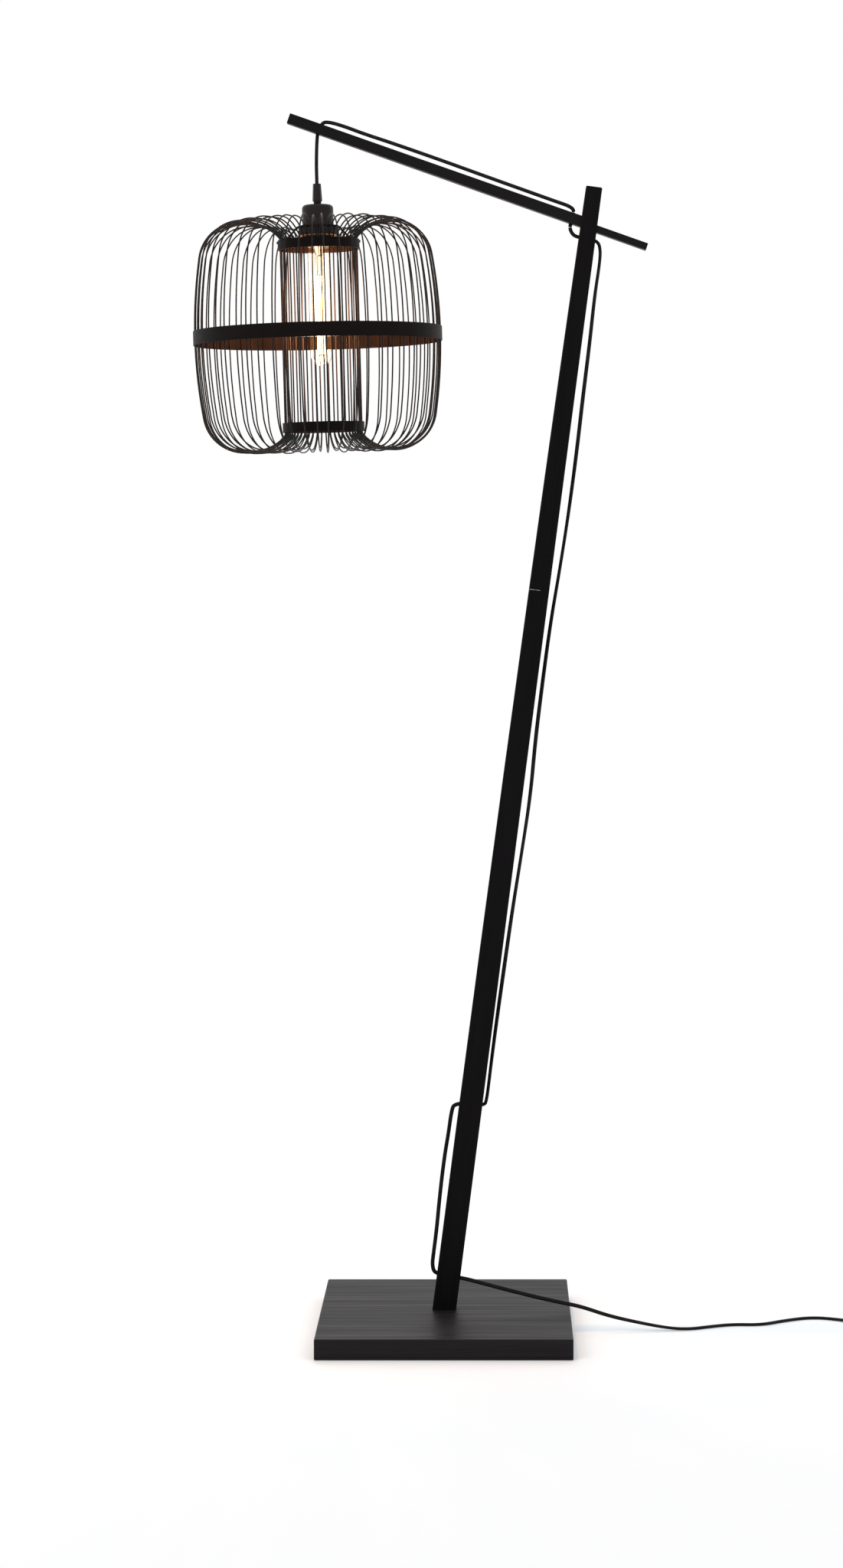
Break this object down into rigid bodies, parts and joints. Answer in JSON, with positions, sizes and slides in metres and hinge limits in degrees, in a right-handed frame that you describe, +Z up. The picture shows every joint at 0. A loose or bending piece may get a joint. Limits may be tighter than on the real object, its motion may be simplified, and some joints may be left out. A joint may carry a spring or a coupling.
{
  "type": "wire cage floor lamp",
  "caption": "Floor lamp with a leaning wooden post on a square board, a sloping arm that the lead is threaded through, and a hanging shade of bent wires round a tubular bulb.",
  "frame": {"origin": "centre of the base board's underside, on the floor", "axes": "+Z up, +X to the side that the post leans to, +Y to the back; the arm and post lie in the XZ plane"},
  "size_m": [1.1329, 0.3542, 1.7075],
  "materials": {
    "black_stained_wood": "satin, black-brown open-pored stain",
    "blackened_steel": "satin, near-black brown",
    "black_cord": "satin",
    "black_plastic": "satin",
    "zinc_steel": "satin",
    "brass": "satin",
    "black_phenolic": "satin",
    "ceramic": "gloss",
    "clear_glass": "clear, faintly amber",
    "glowing_filament": "glowing warm yellow",
    "black_screw": "satin black"
  },
  "bodies": {
    "stand": {"base_board": "black_stained_wood", "foot_plate": "zinc_steel", "base_bolts": "zinc_steel", "post_inserts": "brass", "post_lower": "black_stained_wood", "post_upper": "black_stained_wood", "lap_screws": "black_screw", "lap_inserts": "brass", "arm": "black_stained_wood", "arm_lock_screw": "black_screw", "lead_arm": "black_cord", "lead_loop": "black_cord", "lead_upper": "black_cord", "lead_lower": "black_cord", "lead_floor": "black_cord", "lead_tail": "black_cord", "lead_coil": "black_cord", "lead_plug_end": "black_cord", "coil_tie": "black_plastic", "switch_lower_shell": "black_plastic", "switch_upper_shell": "black_plastic", "switch_screws": "zinc_steel", "switch_contacts": "brass", "rocker_pin": "zinc_steel", "plug_body": "black_plastic", "plug_pins": "brass", "plug_relief": "black_plastic"},
    "rocker": {"switch_rocker": "black_plastic"},
    "cord_upper": {"pendant_cord_upper": "black_cord"},
    "cord_lower": {"pendant_cord_lower": "black_cord"},
    "pendant": {"pendant_cord_tail": "black_cord", "cord_grip": "black_phenolic", "grip_nipple": "zinc_steel", "holder_cup": "black_phenolic", "holder_skirt": "black_phenolic", "holder_insert": "ceramic", "contact_shell": "brass", "centre_contact": "brass", "terminal_screws": "brass", "shade_carrier": "blackened_steel", "top_ring": "blackened_steel", "bottom_ring": "blackened_steel", "carrier_rivets": "blackened_steel", "hoop": "blackened_steel", "core_rods": "blackened_steel", "upper_bows": "blackened_steel", "lower_bows": "blackened_steel"},
    "ring_nut": {"retaining_ring": "black_phenolic"},
    "bulb": {"bulb_glass": "clear_glass", "bulb_cap": "brass", "bulb_insulator": "ceramic", "bulb_contact": "brass", "bulb_stem": "clear_glass", "bulb_filaments": "glowing_filament", "filament_supports": "black_screw"}
  },
  "joints": [
    {"name": "cord_swing_side", "type": "hinge", "parent": "stand", "child": "cord_upper", "pos_m": [-0.1806, 0, 1.6774], "axis": [0, 1, 0], "range_deg": [-20, 20]},
    {"name": "cord_swing_fore", "type": "hinge", "parent": "cord_upper", "child": "cord_lower", "pos_m": [-0.1816, -0.0029, 1.655], "axis": [1, 0, 0], "range_deg": [-20, 20]},
    {"name": "pendant_turn", "type": "hinge", "parent": "cord_lower", "child": "pendant", "pos_m": [-0.18158, -0.00341, 1.6312], "axis": [-0.0262, -0.0314, 0.9992], "range_deg": [-90, 90]},
    {"name": "ring_nut_turn", "type": "hinge", "parent": "pendant", "child": "ring_nut", "pos_m": [-0.17908, -0.00042, 1.53588], "axis": [-0.0262, -0.0314, 0.9992], "range_deg": [-360, 0]},
    {"name": "bulb_turn", "type": "hinge", "parent": "pendant", "child": "bulb", "pos_m": [-0.17883, -0.00011, 1.52629], "axis": [-0.0262, -0.0314, 0.9992], "range_deg": [-360, 0]},
    {"name": "rocker_tip", "type": "hinge", "parent": "stand", "child": "rocker", "pos_m": [0.646, 0.014, 0.015], "axis": [0, 1, 0], "range_deg": [-7, 7]}
  ]
}
